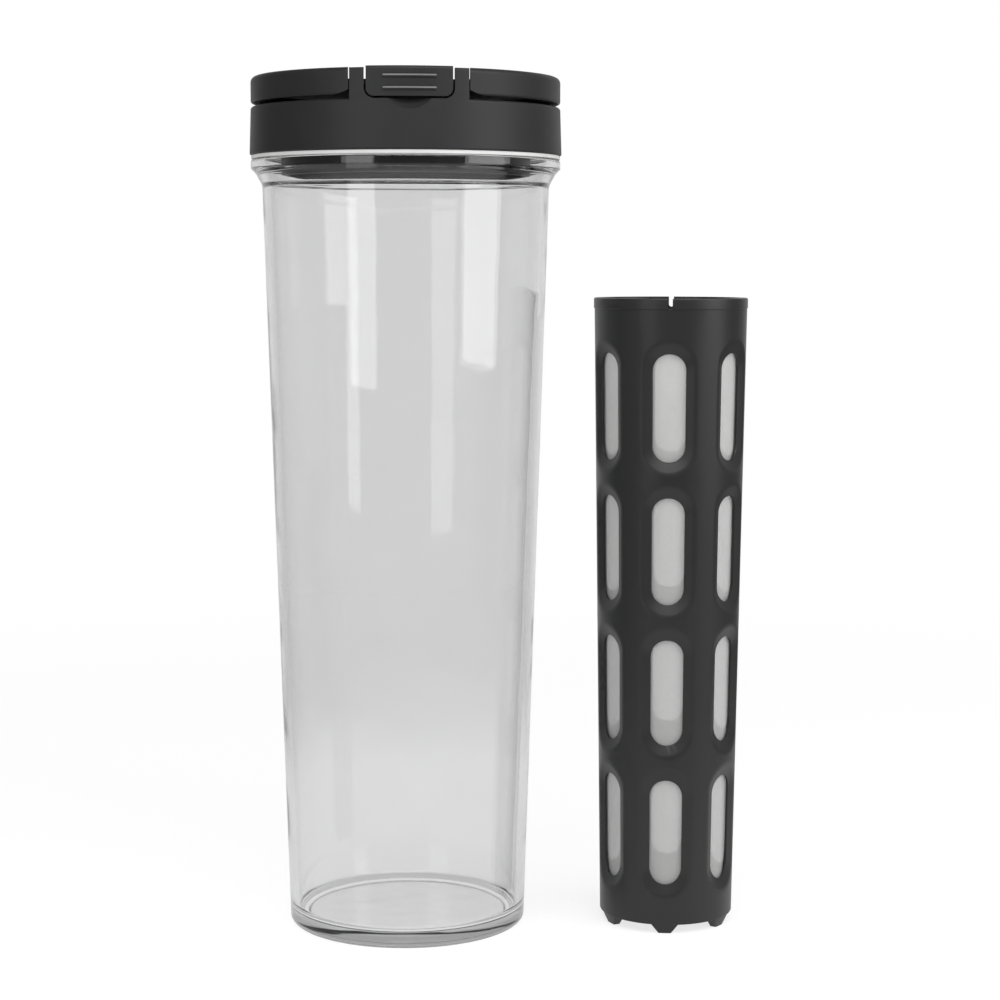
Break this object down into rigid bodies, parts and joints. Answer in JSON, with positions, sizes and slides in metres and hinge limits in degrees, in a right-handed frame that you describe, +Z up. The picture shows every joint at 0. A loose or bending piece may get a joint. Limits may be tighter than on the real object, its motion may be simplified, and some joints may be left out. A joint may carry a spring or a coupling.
{
  "type": "cold brew coffee pitcher",
  "caption": "Clear tapered jar with a screw lid, a latched flip cap over its pour slot, and a removable windowed filter basket with a mesh sleeve, standing beside it.",
  "frame": {"origin": "bottom centre of the set's box, on the surface that the jar and the basket stand on", "axes": "+Z up, -Y to the front of the lid where the latch is, +X from the jar towards the filter basket"},
  "size_m": [0.1678, 0.1046, 0.2876],
  "materials": {
    "jar": "clear moulded copolyester, polished",
    "lid": "dark grey polypropylene with a fine spark-eroded texture",
    "cage": "dark grey polypropylene, satin",
    "silicone": "translucent off-white silicone",
    "pin": "ground stainless steel",
    "mesh": "fine woven filter mesh"
  },
  "bodies": {
    "jar": {"jar": "jar"},
    "gasket": {"lid_gasket": "silicone"},
    "lid": {"lid_collar": "lid", "lid_deck": "lid", "hinge_pin": "pin"},
    "cap": {"flip_cap": "lid", "cap_stopper": "silicone", "latch_pin": "pin"},
    "latch": {"latch": "lid"},
    "filter": {"filter_cage": "cage", "filter_mesh": "mesh", "filter_floor": "mesh"}
  },
  "joints": [
    {"name": "lid_rise", "type": "slide", "parent": "jar", "child": "gasket", "axis": [0, 0, 1], "range_m": [0, 0.004]},
    {"name": "lid_twist", "type": "hinge", "parent": "gasket", "child": "lid", "pos_m": [-0.03161, 0, 0.27], "axis": [0, 0, 1], "range_deg": [0, 360]},
    {"name": "cap_hinge", "type": "hinge", "parent": "lid", "child": "cap", "pos_m": [-0.03161, 0.04677, 0.281], "axis": [-1, 0, 0], "range_deg": [0, 110]},
    {"name": "latch_pivot", "type": "hinge", "parent": "cap", "child": "latch", "pos_m": [-0.03161, -0.04597, 0.2848], "axis": [-1, 0, 0], "range_deg": [0, 25]},
    {"name": "filter_lift", "type": "slide", "parent": "jar", "child": "filter", "axis": [0, 0, 1], "range_m": [0, 0.25]}
  ],
  "couplings": [
    {"joint": "lid_rise", "follows": "lid_twist", "m_per_rad": 0.00063662}
  ]
}
